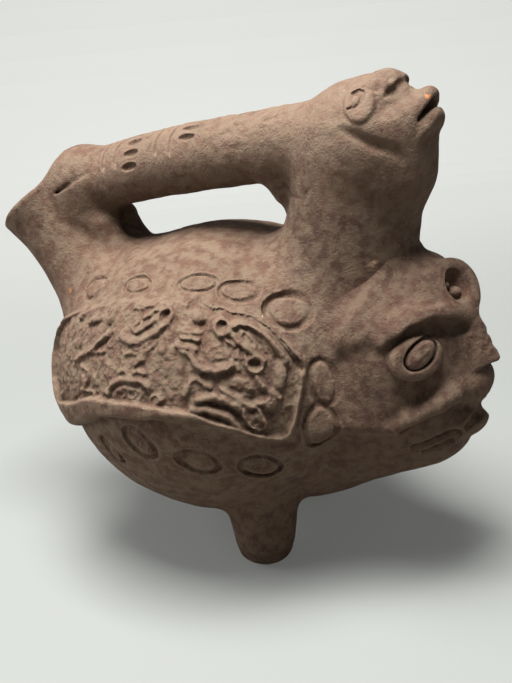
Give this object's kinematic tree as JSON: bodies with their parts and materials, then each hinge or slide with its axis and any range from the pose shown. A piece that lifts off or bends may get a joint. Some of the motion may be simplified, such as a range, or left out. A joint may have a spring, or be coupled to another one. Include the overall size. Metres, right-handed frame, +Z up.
{
  "type": "effigy vessel",
  "caption": "Hand-built clay effigy vessel with stub feet, bridge handle, flared spout, animal head, front mask and moulded relief flanks.",
  "frame": {"origin": "middle of the whole part seen from above, at the level of the feet's soles", "axes": "+X towards the mask, +Y towards the far flank, +Z up"},
  "size_m": [0.2604, 0.177, 0.2264],
  "materials": {
    "bowl_clay": "burnished terracotta, worn matt",
    "upper_clay": "terracotta with pale earth film",
    "mask_clay": "dark red-brown terracotta, handled smooth",
    "relief_clay": "mould-pressed terracotta with buff dust in the recesses",
    "foot_clay": "rough terracotta"
  },
  "bodies": {
    "root": {"animal_jowl": "upper_clay", "animal_lower_lip": "upper_clay", "animal_skull": "upper_clay", "animal_snout": "upper_clay", "animal_upper_lip": "upper_clay", "bowl_lower_far": "bowl_clay", "bowl_lower_near": "bowl_clay", "bowl_upper_far": "bowl_clay", "bowl_upper_near": "bowl_clay", "eye_bead_far": "upper_clay", "eye_bead_near": "upper_clay", "eye_coil_far": "upper_clay", "eye_coil_near": "upper_clay", "foot_far": "foot_clay", "foot_far_collar": "foot_clay", "foot_near": "foot_clay", "foot_near_collar": "foot_clay", "foot_rear": "foot_clay", "foot_rear_collar": "foot_clay", "frame_bottom_far": "relief_clay", "frame_bottom_near": "relief_clay", "frame_front_far": "relief_clay", "frame_front_near": "relief_clay", "frame_rear_far": "relief_clay", "frame_rear_near": "relief_clay", "frame_top_far": "relief_clay", "frame_top_near": "relief_clay", "handle_bridge": "upper_clay", "handle_knob": "upper_clay", "handle_lug": "upper_clay", "mask_brow_far": "mask_clay", "mask_brow_near": "mask_clay", "mask_cheek_far": "mask_clay", "mask_cheek_near": "mask_clay", "mask_chin": "mask_clay", "mask_forehead": "mask_clay", "mask_forehead_ring": "mask_clay", "mask_jaw": "mask_clay", "mask_lids_far": "mask_clay", "mask_lids_near": "mask_clay", "mask_lower_lip": "mask_clay", "mask_nose": "mask_clay", "mask_pellet_far": "mask_clay", "mask_pellet_near": "mask_clay", "mask_throat": "mask_clay", "mask_upper_lip": "mask_clay", "neck_tube": "upper_clay", "relief_plaque_far": "relief_clay", "relief_plaque_near": "relief_clay", "spout_rim": "bowl_clay", "spout_tube": "bowl_clay"}
  },
  "joints": []
}
